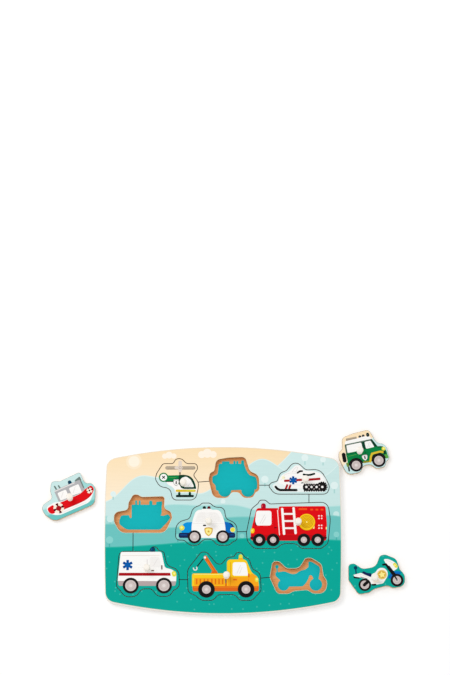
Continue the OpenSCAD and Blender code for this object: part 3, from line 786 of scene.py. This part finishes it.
vehicles["off_roader"] = dict(peg=(-3.9, 0.535), turn=12, recess=(14.1, 67.05), body=[
    patch("beige", 0.4, (-17.4, 20.9, 1.2), (-3.4, 20.9, 1), (-3.6, 17), (-17.8, 17)),
    patch("white", 0.8, (-19.4, 17.8, 2.2), (12.4, 18.6, 2.6), (15.4, 12.6), (-20.2, 12.2)),
    disc("black", 0.7, 19.6, 1.8), disc("black", 5.1, 19.8, 1.8), line("night", 3.9, 11, 19.4, 11.1, 20.8),
    patch("forest", 1.2, (-20.6, 13.6), (14.8, 13.8, 1), (20.2, 2.4, 0.6), (-21.4, 0.8, 0.5)),
    patch("green", 2.5, (-21.6, 1.9, 0.8), (19, 2.9, 1), (25.6, 2.1), (29.6, -4), (30.4, -14.6, 1.5),
        (-21.8, -14.6, 2)),
    line("black", 4.8, -24.6, 1.2, -25, -6.8), line("fern", 2.8, -22.7, -11.2, -22.5, -14.4),
    line("black", 2, -21.9, -16.4, -22.3, -20.8),
], shadow=[
    patch("teal", 1.5, (-19.6, 19.4), (12.4, 19.4), (16.2, 9, 4), (19.6, 4.6, 2), (27.6, 2.4, 2), (29.4, -4, 3),
        (29.2, -14, 2.5), (-22.8, -15.6), (-24, -8), (-27.6, -5), (-27.8, 3, 2), (-23.6, 4.6), (-21, 6),
        (-20, 14, 2)),
    disc("teal", -12, -15.2, 8.3), disc("teal", 17.5, -15, 8.5),
    patch("teal", 0.2, (-15.4, 19), (-15.4, 22.4, 1), (-5.6, 22.6, 1), (-5.6, 19)),
    *lines("teal", 2.8, (0.4, 19, 0.4, 21.8), (4, 19, 4, 21.8)), line("teal", 3.8, 10.8, 19, 10.8, 22),
], details=[
    line("tan", 0.9, -16.2, 18.6, -4.6, 18.9), line("tan", 0.8, -16.4, 20.6, -16.6, 18),
    line("white", 1.2, -0.6, 18, 7, 18.3), *[disc("slate", x, 20.3, 0.6) for x in (0.4, 4.8, 10.6)],
    patch("white", 1, (-18.7, 12), (0.8, 12.1, 1.6), (0.8, 1.9, 3), (-19.3, 2.1)),
    patch("white", 1, (4.9, 11.8, 1.2), (12.8, 11.9), (15.8, 2.8), (4.9, 2.5, 1.6)),
    *lines("sage", 1.5, (-18.8, 12.8, 12.8, 13), (-19.6, 12.2, -20.3, 2)),
    *lines("mist", 0.7, (7.2, 4, 11, 9.8), (9.4, 4, 12, 8)), line("forest", 0.6, 3, -1, 3.4, -3.4),
    line("forest", 1, 20, 1.8, 26, 1), line("forest", 0.6, -20.6, 0.2, -6, 0.6),
    line("leaf", 0.6, -19, -2.4, -9, -2),
    patch("forest", 0.6, (24.4, -4.4, 1), (28.8, -5, 0.8), (28, -9.6), (25.6, -8.8)),
    arch("black", -12, -15.6, 8.6, 1.6, 8, 172), arch("black", 17.5, -15.5, 9, 1.4, 8, 176),
    line("olive", 2, -1.6, -14, 6.2, -14.4),
    stroke("mustard", 2.6, (6.6, -14.8), (8.6, -9), (10.9, -5.2), (21.6, -4.6), (24.6, -6)),
    patch("leaf", 1.2, (26, -9.6, 1), (29.6, -9.4), (30.8, -14.8), (27, -15.2, 1)), disc("lemon", 26.7, -1.9, 2.4),
    disc("straw", 26.9, -1.6, 1.1), *sign(1, -8.2, 3.9),
], wheels=[(-12, -15.6, 8.3, 5.7), (17.5, -15.5, 8.6, 5.9)])

vehicles["snowmobile"] = dict(peg=(6.93, -2.025), turn=0, ground=[
    patch("snow", 3, (-35.2, -9), (-31, -14.4, 4), (-25, -17, 4), (33, -17, 5), (36, -10, 4), (33.6, 0, 5),
        (27.6, 7.6, 5), (18, 10.2, 4), (6, 11), (1, 17.6), (-5, 18.2), (-14.6, 9.2), (-22.6, 4.2), (-24.6, -1),
        (-32.6, -6.4)),
], body=[
    patch("white", 3, (-28, -4.6, 2), (-24.6, 3.4, 4), (-19, 7.6, 4), (-12.6, 9.4), (-5.4, 17.4), (-0.4, 17.4, 2.5),
        (4.4, 10.6), (19, 9.8, 4), (27.4, 6.4, 4), (31.6, -2.6), (33, -9), (3, -12.4), (-14, -10.6, 4)),
    *lines("ruby", 2.6, (-18, -13.4, -16, -8.2), (-13.8, -13.4, -11.9, -8.2), tip=0.5),
    stroke("black", 3.1, (-30.6, -10.2), (-28.4, -12.9), (-25, -14.4), (-4.4, -14.4)),
    patch("tyre", 3.6, (3.7, -6.7, 3.2), (21.8, -6.7, 2), (25, -4.3, 2.4), (31, -4.2, 3.4), (34.3, -8, 3),
        (33.4, -15.6), (4, -15.4)),
], details=[
    patch("mist", 0.8, (-10.4, 9), (-4.8, 15.9, 2), (-1.4, 15.9, 1.5), (-4.2, 9)),
    patch("white", 0.6, (-9, 9.6), (-4.4, 15.1, 1.6), (-2.6, 15.1, 1), (-5, 9.6)),
    stroke("mist", 0.5, (-24, -2), (-19, 5.6), (-12, 7.8), (-3, 7)), line("mist", 0.5, -14, -7.6, 1, -7.8),
    disc("glow", -20.6, 1.6, 2.2), disc("sand", -19.4, 1.5, 0.9),
    *lines("ruby", 2.9, (-18.4, -2.4, -14, -2.2), (-3.2, -1.4, 1.4, -1.2), tip=0.5),
    line("ruby", 3, 12, -0.9, 24.6, 0.1, 0.4), *asterisk(-8.3, -1.7, 3.7, 3),
    stroke("black", 2.3, (-2.6, 8), (0, 10), (3, 10.2)),
    stroke("night", 2.5, (5, 5.8), (8, 5.1), (13, 5.2), (18.4, 6.7)), line("slate", 1.3, 2.2, -5.2, 5, -4.7),
    *[disc("tyre", x, -15.5, 0.95) for x in range(6, 31, 3)],
    *[disc("tyre", x, -6.9, 0.95) for x in range(6, 22, 3)],
    *[disc("tyre", 28.6 + 5.9 * cos(radians(a)), -10 + 5.9 * sin(radians(a)), 0.95) for a in range(-60, 130, 27)],
    *[arch("tread", x, -10.4, 2.6, 0.4) for x in (8.3, 14.8, 21.2, 28.5)],
    *[disc("white", x, -10.4, 1.5) for x in (8.3, 14.8, 21.2, 28.5)],
    *[disc("hub", x, y, 0.7) for x in (11.5, 18, 24.7) for y in (-8.1, -13)],
])

vehicles["boat"] = dict(peg=(1.095, -4.85), turn=24, recess=(-100.5, 20.85), body=[
    patch("lead", 0.4, (15.4, 11), (15.8, 14.4, 0.6), (23.4, 16.4, 0.8), (23.8, 11)),
    line("lead", 2, -10.6, 17.2, -10, 12), line("lead", 1.9, -5.8, 16, -5.1, 12), dome("petrol", 8.9, 12, 2.3, 5),
    patch("zinc", 0.5, (-13.6, 12.6, 1.6), (23.2, 12.6, 1.4), (23.2, -4), (-13.6, -4)),
    patch("white", 3, (-31.4, -3, 4), (-19, -1.6, 1.5), (-10, -4.2, 0.8), (16, -4.2), (23.6, -1.4, 2),
        (32, 0.4, 2.2), (34.4, -6), (27, -15, 4), (21, -19.5), (-21.5, -19.5, 6), (-31.6, -11, 5)),
], shadow=[
    patch("teal", 1, (-31, -9, 3), (-28.6, -1.2, 2.5), (-18.6, -0.8, 0.8), (-17, -5, 0.8), (-15.2, -4, 0.5),
        (-15.2, 12.6), (23, 12.6, 1.2), (22.8, 0.4), (21.4, -1.2, 0.6), (25, -1.8), (31, 0.4, 1.5), (34.4, -4, 2),
        (30, -10, 2), (21, -19.6, 2), (-22, -19.6, 4), (-30.6, -12.5, 3)),
    line("teal", 2.4, -9.6, 12, -9.6, 17), line("teal", 2.2, -5, 12, -5, 17), dome("teal", 9, 12, 2.1, 5.8),
    patch("teal", 0.4, (15.6, 12), (16, 16.4, 0.8), (23.4, 17, 0.8), (23.4, 12)),
], details=[
    line("mist", 1.3, -12.8, 11.4, 14, 11.4), line("lead", 1.4, 22.4, 14, 22.4, 1),
    patch("white", 1.6, (-10.9, 8), (0.8, 8), (0.8, -3, 1), (-10.9, -2.6, 1.2)),
    patch("white", 1.6, (4.9, 8), (18.2, 8), (18, -3.6, 1.2), (4.9, -2.6, 1)),
    *lines("mist", 0.7, (7.6, 0, 13, 6.4), (-8.4, 0.6, -3.4, 6.4)),
    patch("red", 3, (-30.8, -5), (-22, -3.6, 1.5), (-20, -9.5, 1), (-23, -14.6, 2.5), (-29.8, -14, 4)),
    patch("red", 3, (-12.6, -4.8, 0.6), (16, -4.6), (22.6, -1.8), (32, 0.2, 2.2), (34.4, -5.6), (28.4, -11.8, 4),
        (20, -14.8, 4), (9, -15.4), (-12.6, -15, 0.6)),
    stroke("wine", 0.6, (-10, -14.2), (9, -14.5), (19.4, -14), (26.8, -11.6)),
    line("mist", 0.5, -20, -17.6, 18, -17.6), disc("wine", -16.9, -10.7, 3.6), arch("cream", -16.9, -10.7, 5, 3.4),
    *[arch("maroon", -16.9, -10.7, 5, 3.5, a - 15, a + 15) for a in (0, 90, 180, 270)],
    disc("cream", 27.7, -5.5, 3.7), *[arch("maroon", 27.7, -5.5, 3.2, 2, a - 16, a + 16) for a in (0, 90)],
    *[arch("wine", 27.7, -5.5, 3.2, 1.8, a - 12, a + 12) for a in (180, 270)], disc("night", 27.7, -5.5, 1.1),
])

vehicles["police_car"] = dict(peg=(2.73, 2.2), turn=0, body=[
    patch("cyan", 0.5, (-31.6, -2, 3.4), (-27, 2.6, 3), (-17.4, 3), (-17.4, -11), (-31.6, -11, 1)),
    patch("blue", 0.5, (22.4, 3.4), (29, 2.4, 2.5), (34.2, -3.4, 2.5), (33.6, -11, 1), (22.4, -11)),
    patch("navy", 0.5, (-35, -10.8, 2), (-18, -10.8), (-18, -17.4), (-35.2, -17.4, 2.4)),
    patch("navy", 0.5, (23, -10.8), (36.2, -10.8, 2), (36.2, -17.3, 2.2), (23, -17.4)),
    patch("white", 0.6, (-12.8, 18.7, 4.5), (16.4, 18.7, 4), (21.6, 8, 5), (23.8, -3, 3), (24.2, -17.4),
        (-19, -17.4), (-18.8, 0, 4), (-16.2, 10, 5)),
    dome("night", -2.8, 18.6, 2.1, 4.8), dome("maroon", 3, 18.6, 2.1, 4.8),
], details=[
    patch("chalk", 1, (-14.6, 3, 1.4), (-10.6, 15.6, 4), (-1, 15.8), (-1, 3)),
    patch("chalk", 1, (2, 15.8), (13.6, 15.6, 4.4), (19, 3.4, 1.6), (2, 3)),
    *lines("mist", 0.4, (0.5, 16.4, 0.5, -14), (-17, 1, 22, 1)), line("white", 1.4, -5.4, 19.2, 5.6, 19.2),
    line("black", 1.9, -3.6, -1.4, -1.4, -1.4), disc("lemon", -31, -4.6, 3.2), disc("straw", -31.5, -4, 1.5),
    stroke("navy", 1.5, (29.6, 1.2), (32.2, -0.4), (33.8, -3)), disc("straw", 33, -7, 3.1),
    disc("lemon", 33.1, -7, 2.4), *lines("blue", 0.6, (-33, -13.6, -25, -13.6), (30, -13.6, 34.4, -13.6)),
    shield("gold", 2.6, -9.2, 5.4), shield("straw", 2.6, -9.2, 4), star("gold", 2.6, -9.2, 2),
], wheels=[(-15.2, -16, 8.4, 5.8), (20.5, -16, 8.4, 5.8)])

vehicles["fire_truck"] = dict(peg=(12.2, 1.89), turn=0, body=[
    dome("crimson", -31.5, 20, 3, 7),
    patch("red", 2.5, (-40, 20.7), (-13, 20.8, 1), (-11, 12, 0.5), (-11, -21, 0.6), (-46.6, -21, 2), (-48, -14, 3),
        (-46.4, -4, 4)),
    patch("red", 2, (-12.2, 22.9, 1.6), (47, 23.4, 2.4), (48.5, 0), (47.4, -21), (-12.2, -21, 0.6)),
    patch("brick", 0.4, (-47.6, -13.6), (47.9, -13.6), (47.2, -21, 2), (-46.6, -21, 2)),
    line("maroon", 3.2, -47, -17.6, -44, -17.6), line("maroon", 3, 43.6, -17.2, 46.8, -17.2),
], details=[
    line("rose", 0.8, -33, 22.4, -33, 24.6), line("brick", 1.1, -38, 19.6, -15.4, 19.8),
    patch("maroon", 0.4, (-42.6, 3.4, 1), (-39.4, 3.4), (-39.4, -1.6), (-42.2, -1.6, 1)),
    patch("white", 3, (-40.4, 17.4, 2.4), (-21.4, 17.4), (-21.4, -1.6), (-40.2, -1.6, 2), (-42, 4.4, 2)),
    *lines("mist", 0.8, (-36, 1, -30, 12), (-33, 1, -28.6, 9)), line("brick", 0.5, -18.4, 16, -17.2, -12),
    line("maroon", 1.2, -17.4, -4.4, -15.2, -4.4), line("pink", 1.1, -13.7, 18, -11.4, -13.6),
    patch("brick", 0.4, (-7.6, 19.6), (6.6, 20.6), (8.8, -11.6), (-5.4, -12.6)),
    *[line("white", 2.3, -7.2 + 0.6 * k, 13.3 - 9.15 * k, 7.1 + 0.65 * k, 13.3 - 9.15 * k) for k in range(3)],
    *lines("white", 3, (-7.8, 19.6, -5.6, -12.2), (6.6, 20.6, 8.9, -11.2)),
    line("coral", 2.4, 14.2, 19.5, 22.3, 19.5, 0.4),
    *[line("coral", 2.3, x - 0.6, 18.8, x + 0.6, 18.8, 0.4) for x in (29.5, 36, 42.5)],
    stroke("straw", 1.7, (31, 1), (32, -1.6), (31.9, -5)), disc("ochre", 23.3, 2.6, 10.5),
    disc("yellow", 23, 3, 10.4),
    *[arch("ochre", 23 + 0.42 * (k % 2), 3, 8.4 - 0.85 * k, 0.8, 180 * k, 180 * k + 180) for k in range(9)],
    disc("straw", 23, 3, 0.9), *[disc("pink", x, y, 1) for y in (10.8, 7.5) for x in (38.5, 42)],
    *[disc("pink", x, y, 1) for y in (-1.5, -5) for x in (38.5, 41.8)], line("straw", 1.4, 47.8, -4, 47.7, -6),
    line("yellow", 4.8, -45.3, -7.6, -45.5, -9.2), line("straw", 1.4, -46, -7.6, -46, -8.4),
], wheels=[(x, -20, 8.1, 3.9) for x in (-37, -19.5, 19.3, 36.7)])

vehicles["ambulance"] = dict(peg=(-1.55, 2.9925), turn=0, body=[
    dome("petrol", 5.4, 24, 3.2, 7),
    patch("white", 3, (-34.8, 24.7, 1.8), (16.4, 24.9, 2.4), (20.8, 4.6, 2.5), (30.6, 2.2), (35.4, -3),
        (35, -13, 0.8), (-38.2, -13, 1), (-37.6, -4)),
    patch("grey", 2, (-38, -12.1, 0.6), (35, -12.6, 0.8), (34, -18.4), (-37, -18.4)),
], details=[
    line("azure", 0.8, 4, 27, 4.2, 29.2), line("shell", 0.7, -32.8, 20.2, 14, 20.4),
    patch("chalk", 1.2, (2.2, 18.4, 1.6), (13.4, 18.6, 1.8), (16.6, 5.4), (2.2, 5.2)),
    line("mist", 0.7, 6.6, 7.4, 11.4, 15.6), line("ring", 0.5, -1.5, 15, -1.5, 2),
    *lines("shell", 0.4, (-1.5, 1, -1.5, -1.6), (18.6, -6.4, 19, -11.4)),
    patch("ruby", 0.3, (-36.7, -1.9), (27.6, -1.9, 0.5), (28.2, -5.6, 0.5), (-37.3, -5.6)),
    line("ring", 0.5, -36.6, -14.6, 33.6, -15), *asterisk(-26, 8, 4.9, 3.3), line("brown", 1.6, 4.3, 0.9, 6.7, 0.9),
    line("mauve", 1.8, 17, 3.1, 17, 7.1), line("lemon", 5.4, 32.2, -2.4, 32.6, -4), disc("straw", 32.7, -2.8, 1.4),
], wheels=[(-21.9, -18.1, 10, 7), (19.8, -18.1, 10, 7)])

vehicles["tow_truck"] = dict(peg=(2.775, 0.32), turn=0, body=[
    line("black", 1.4, -27, 22, -33.8, 13), arch("mist", -36.4, 10.4, 2.2, 1.5, -205, 55),
    line("rust", 4.4, -23.6, 24.4, -11.4, 5.4), patch("rust", 0.3, (-17.6, 3), (-14, 9, 1), (-9.8, 8, 1), (-7.4, 3)),
    patch("amber", 0.2, (0, 3), (4.4, 3), (4.4, -12.4), (0, -12.4)),
    patch("yellow", 0.6, (-40.4, 4, 2.4), (1, 4), (1, -12.4, 0.4), (-40.4, -12.4)),
    patch("orange", 0.2, (17.9, 20.8), (17.9, 23.6, 0.6), (23.5, 23.6, 0.6), (23.5, 20.8)),
    dome("lemon", 20.7, 23.4, 2.4, 4.7),
    patch("yellow", 4.5, (3.4, 21.7), (27.4, 21.7, 3.5), (32.8, 8.5, 4), (35, 4.6, 2), (42.4, -0.8, 3),
        (43.6, -12.4, 0.6), (3.4, -12.4, 0.4)),
    patch("rust", 0.8, (-39.6, -12), (43.5, -12), (43.2, -18.6, 1.6), (-39.2, -18.6, 1.6)),
], details=[
    line("orange", 0.6, -21.4, 19.6, -13.4, 7.4), disc("white", -24.2, 24.2, 1.4),
    patch("orange", 0.4, (-37.6, -1.8, 1), (0.4, -1.8), (0.4, -11.2), (-37.6, -11.2, 1)),
    *[line("amber", 1.6, x, -3.6, x, -9) for x in (-34.5, -30, -25, -20.5, -15.5, -11, -6.5, -2)],
    line("straw", 0.6, -37.6, 2.6, -1, 2.6), line("lemon", 2.2, -38.8, -2.8, -38.8, -4.2),
    patch("orange", 0.4, (4.4, -0.6, 2), (31, -0.6), (30, -12.2), (4.4, -12.2)),
    patch("orange", 0.4, (30.8, 1.2, 1), (35.2, 4, 1.5), (42.1, -0.8, 2.8), (43.2, -12.2), (29.4, -12.2)),
    patch("white", 3, (10.7, 18.2), (27.3, 18.2), (30.2, 1, 1.6), (10.5, 1, 2.5)),
    *lines("mist", 0.8, (16, 4, 20.4, 14), (19.2, 4, 22.4, 11.4)), line("ochre", 0.5, 8, 18, 7.8, -11.4),
    line("amber", 0.5, 30.6, -3, 29.8, -11.6), line("rust", 1.8, 12, -4, 15.2, -4),
    line("amber", 2, 30.8, 3, 30.8, -0.2), line("brown", 1.4, 1.8, -2, 1.8, -8),
    line("lemon", 4.4, 40.7, -3.2, 40.9, -4.8), disc("straw", 41, -3.4, 1.2),
    line("orange", 0.5, -38, -13.4, 41.6, -13.4),
], wheels=[(-22.3, -16.3, 10.5, 5.5), (27.4, -16.2, 10.5, 5.5)])

vehicles["motorcycle"] = dict(peg=(-2.84, -5.2325), turn=10, recess=(94.5, -59.15), body=[
    line("navy", 1.5, -23.7, 11, -24.4, 3), disc("petrol", -23.6, 12.3, 2.3),
    arch("blue", 24.7, -12.1, 9.6, 4.2, 52, 158),
    patch("white", 2, (13.2, 16.6, 1.2), (16.4, 17, 1.5), (23.4, 14, 5), (29, 7.4, 3), (28.6, 2.6), (21.6, -0.4),
        (17, 5)),
    line("black", 2.8, -27, 0.8, -22, -0.6),
    patch("navy", 0.8, (-17.2, 5.4), (-14.4, 6.4, 1), (-10.4, 3.4, 1.5), (-5.4, 2), (-5.6, -3.4, 0.6), (-12, -1, 1)),
    patch("white", 1.5, (-28, 4, 0.8), (-18, 4.8, 1), (-12.8, 1, 1), (-6.8, -2.6, 0.6), (-5, 1), (0, 2, 2),
        (3.4, 6.4, 3), (10, 7.2, 3.5), (15.2, 2.4, 4), (14.6, -4.6, 3), (10.4, -9, 2), (7, -13.2, 2), (-5, -13),
        (-9, -10.6), (-11, -5.4, 1), (-20, -0.8, 1), (-27, 1.6, 0.6)),
    line("black", 2.2, -6.6, -12.6, -3, -13),
], shadow=[
    patch("teal", 1, (-28.6, 5.8), (-17, 7.2, 2), (-11.6, 5, 2), (-7, 3.4, 3), (-2, 4.2, 3), (2, 7.8, 3),
        (9, 9.4, 2), (13, 12.6), (13, 19.6, 1.5), (17, 19.6, 2), (28, 12.6, 4), (27.6, 7, 2), (25.6, -3), (20, -4),
        (17.2, 2), (14.4, 2.2), (13.2, -1.6), (10.4, -7, 2), (6, -12, 2), (-14, -12.4), (-23, -4), (-28.4, 1.4)),
    disc("teal", -18.4, -10.2, 7.2), disc("teal", 22.2, -9.6, 7.9), disc("teal", -26.6, 13, 2.3),
    line("teal", 1.6, -26.6, 11, -26.2, 5),
], details=[
    line("slate", 0.8, -19.6, -0.2, -11.8, -4),
    patch("cream", 1.5, (-5.6, -4, 1), (2, -5), (3.4, -11.4), (-5, -11.8, 1)),
    line("mist", 0.8, -4, -10.6, 6.4, -11.2), stroke("mist", 0.6, (-25.6, 2.9), (-17.6, 2.5), (-9, -3.2)),
    disc("gold", 7.5, -1.9, 6), arch("straw", 7.5, -1.9, 5.2, 0.5), star("straw", 7.5, -2, 4.4, 0.55),
    stroke("mist", 0.6, (16.2, 14.6), (20.4, 13), (23.6, 10)), line("lemon", 4, 25.6, 8, 27, 5.4),
    disc("straw", 25.6, 6.8, 1.3), line("cyan", 0.6, 24.4, -1.2, 29, -2.4),
], front=[
    line("tyre", 4, -16.8, -11, -11.4, -7.4), line("black", 2.4, 11.2, 10.2, 14.6, 10.3),
    line("black", 2.8, 14.6, 10.2, 17.6, 5), line("black", 4.4, 17.6, 5.2, 22.4, -4.4, 0.6),
    line("black", 1.8, 21.6, -3.4, 24.8, -11.6), disc("slate", 24.7, -12.1, 1),
], wheels=[(-16.2, -10.9, 7.9, 5.4), (24.7, -12.1, 8.1, 5.2)])


def middleOf(name, vehicle):  # middle of the picture, from where its peg stands
    reach = Matrix.Rotation(radians(vehicle["turn"]), 2) @ Vector(vehicle["peg"]) * mm
    return middleOfPeg(name).xy - reach


def printVehicle(name, vehicle):
    shapes = vehicle.get("ground", []) + vehicle["body"] + vehicle["details"]
    shapes += tyres(vehicle) + hubs(vehicle) + vehicle.get("front", [])
    bm, materials = drawShapes(shapes)
    putDown(bm, middleOf(name, vehicle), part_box(name + "_tile")[1].z, vehicle["turn"])
    addPiece(name + "_ink", bm, materials, name, name + "_print")


def printShadow(name, vehicle):  # the vehicle's plain shape on the floor of its opening
    bm, materials = drawShapes(vehicle.get("shadow", vehicle["body"] + tyres(vehicle)), inks["teal"])
    spot = Vector(vehicle["recess"]) * mm if "recess" in vehicle else middleOf(name, vehicle)
    putDown(bm, spot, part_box("base_board")[1].z)
    addPiece(name + "_recess_print", bm, materials, "board", "printed_face")


def picturePart(name, vehicle):  # the landscape on a tile, taken back to the opening it was sawn from
    if "recess" not in vehicle:
        return boardPicture
    turn = -radians(vehicle["turn"])
    moved = Matrix.Rotation(turn, 2) @ middleOf(name, vehicle)
    return inkMaterial(name + "Picture", turn=turn, shift=Vector(vehicle["recess"]) * mm - moved)


boardPicture = inkMaterial("boardPicture")
buildBaseBoard()
buildFaceBoard(boardPicture)
print("boards are cut")
for name, vehicle in vehicles.items():
    buildTile(name, picturePart(name, vehicle))
    buildPeg(name)
    printVehicle(name, vehicle)
    printShadow(name, vehicle)
    print("vehicle is made:", name)
